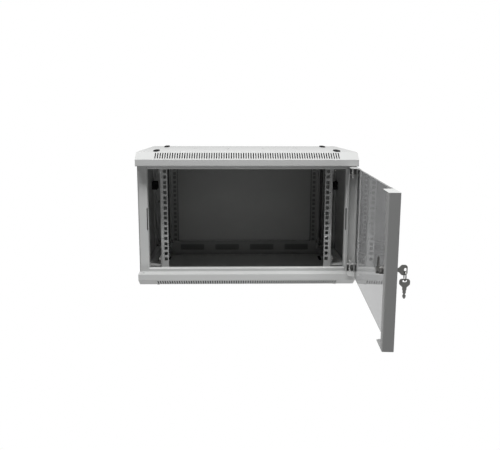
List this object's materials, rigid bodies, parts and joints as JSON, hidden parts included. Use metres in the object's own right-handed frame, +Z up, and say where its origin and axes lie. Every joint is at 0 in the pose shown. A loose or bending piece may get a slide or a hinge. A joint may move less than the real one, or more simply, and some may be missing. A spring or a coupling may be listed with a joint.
{
  "type": "wall mount network cabinet",
  "caption": "Low wall-mounted rack cabinet with a hinged glass door, square-hole rails, slatted top and bottom edges and a cam lock.",
  "frame": {"origin": "centre of the wall fixing hole pattern, on the outer face of the back panel (the wall plane)", "axes": "+X to the viewer's right, +Y into the wall, -Y out of the wall to the cabinet's front, +Z up"},
  "size_m": [0.6, 0.97, 0.378],
  "materials": {
    "grey_paint": "fine powder coat, satin",
    "black_plastic": "fine grain",
    "zinc_steel": "bright zinc",
    "lock_chrome": "polished",
    "tinted_glass": "grey tinted, toughened",
    "glazing_tape": "foam tape"
  },
  "bodies": {
    "cabinet": {"roof_panel": "grey_paint", "bottom_panel": "grey_paint", "front_post_left": "grey_paint", "front_post_right": "grey_paint", "front_bar_top": "grey_paint", "front_bar_bottom": "grey_paint", "rear_post_left": "grey_paint", "rear_post_right": "grey_paint", "rear_bar_top": "grey_paint", "rear_bar_bottom": "grey_paint", "side_bar_left_top": "grey_paint", "side_bar_left_bottom": "grey_paint", "side_bar_right_top": "grey_paint", "side_bar_right_bottom": "grey_paint", "back_panel": "grey_paint", "cable_covers_top": "grey_paint", "cable_covers_bottom": "grey_paint", "front_rail_left": "grey_paint", "front_rail_right": "grey_paint", "rear_rail_left": "grey_paint", "rear_rail_right": "grey_paint", "side_panel_left": "grey_paint", "side_panel_right": "grey_paint", "front_bracket_left_bottom": "grey_paint", "front_bracket_left_top": "grey_paint", "front_bracket_right_bottom": "grey_paint", "front_bracket_right_top": "grey_paint", "rear_bracket_left_bottom": "grey_paint", "rear_bracket_left_top": "grey_paint", "rear_bracket_right_bottom": "grey_paint", "rear_bracket_right_top": "grey_paint", "roof_plugs": "black_plastic", "bottom_plugs": "black_plastic", "latch_body_left": "black_plastic", "latch_body_right": "black_plastic", "back_screws": "zinc_steel", "rail_bolts": "zinc_steel", "foot_bolts": "zinc_steel"},
    "door": {"door_stile_free": "grey_paint", "door_stile_hinge": "grey_paint", "door_glass": "tinted_glass", "glass_tapes": "glazing_tape", "pin_guide_top": "grey_paint", "pin_guide_bottom": "grey_paint", "pin_spring_top": "zinc_steel", "pin_spring_bottom": "zinc_steel", "lock_housing": "lock_chrome", "lock_nut": "zinc_steel"},
    "lock_turn": {"lock_rotor": "lock_chrome", "lock_cam": "zinc_steel", "cam_nut": "zinc_steel"},
    "key": {"key_one": "zinc_steel"},
    "ring": {"key_ring": "zinc_steel"},
    "spare_key": {"key_two": "zinc_steel"},
    "upper_pin": {"hinge_pin_top": "zinc_steel"},
    "lower_pin": {"hinge_pin_bottom": "zinc_steel"},
    "left_latch": {"latch_slide_left": "black_plastic"},
    "right_latch": {"latch_slide_right": "black_plastic"}
  },
  "joints": [
    {"name": "door_hinge", "type": "hinge", "parent": "cabinet", "child": "door", "pos_m": [0.287, -0.387, 0], "axis": [0, 0, 1], "range_deg": [-85.66, 94.34]},
    {"name": "lock_turn", "type": "hinge", "parent": "door", "child": "lock_turn", "pos_m": [0.22835, -0.93513, 0], "axis": [0.9971, -0.0757, 0], "range_deg": [0, 90]},
    {"name": "key_pull", "type": "slide", "parent": "lock_turn", "child": "key", "axis": [0.9971, -0.0757, 0], "range_m": [0, 0.022]},
    {"name": "ring_swing", "type": "hinge", "parent": "key", "child": "ring", "pos_m": [0.27641, -0.93878, -0.00263], "axis": [0.0757, 0.9971, 0], "range_deg": [-20, 20]},
    {"name": "spare_key_swing", "type": "hinge", "parent": "ring", "child": "spare_key", "pos_m": [0.27641, -0.93878, -0.02003], "axis": [0.0757, 0.9971, 0], "range_deg": [-20, 20]},
    {"name": "upper_pin_slide", "type": "slide", "parent": "door", "child": "upper_pin", "axis": [0, 0, 1], "range_m": [-0.01, 0], "stiffness_N_per_m": 400, "springref_m": 0.008, "deforming": ["pin_spring_top"]},
    {"name": "lower_pin_slide", "type": "slide", "parent": "door", "child": "lower_pin", "axis": [0, 0, 1], "range_m": [0, 0.01], "stiffness_N_per_m": 400, "springref_m": -0.008, "deforming": ["pin_spring_bottom"]},
    {"name": "left_latch_slide", "type": "slide", "parent": "cabinet", "child": "left_latch", "axis": [0, -1, 0], "range_m": [0, 0.01], "stiffness_N_per_m": 400, "springref_m": -0.008},
    {"name": "right_latch_slide", "type": "slide", "parent": "cabinet", "child": "right_latch", "axis": [0, -1, 0], "range_m": [0, 0.01], "stiffness_N_per_m": 400, "springref_m": -0.008}
  ]
}
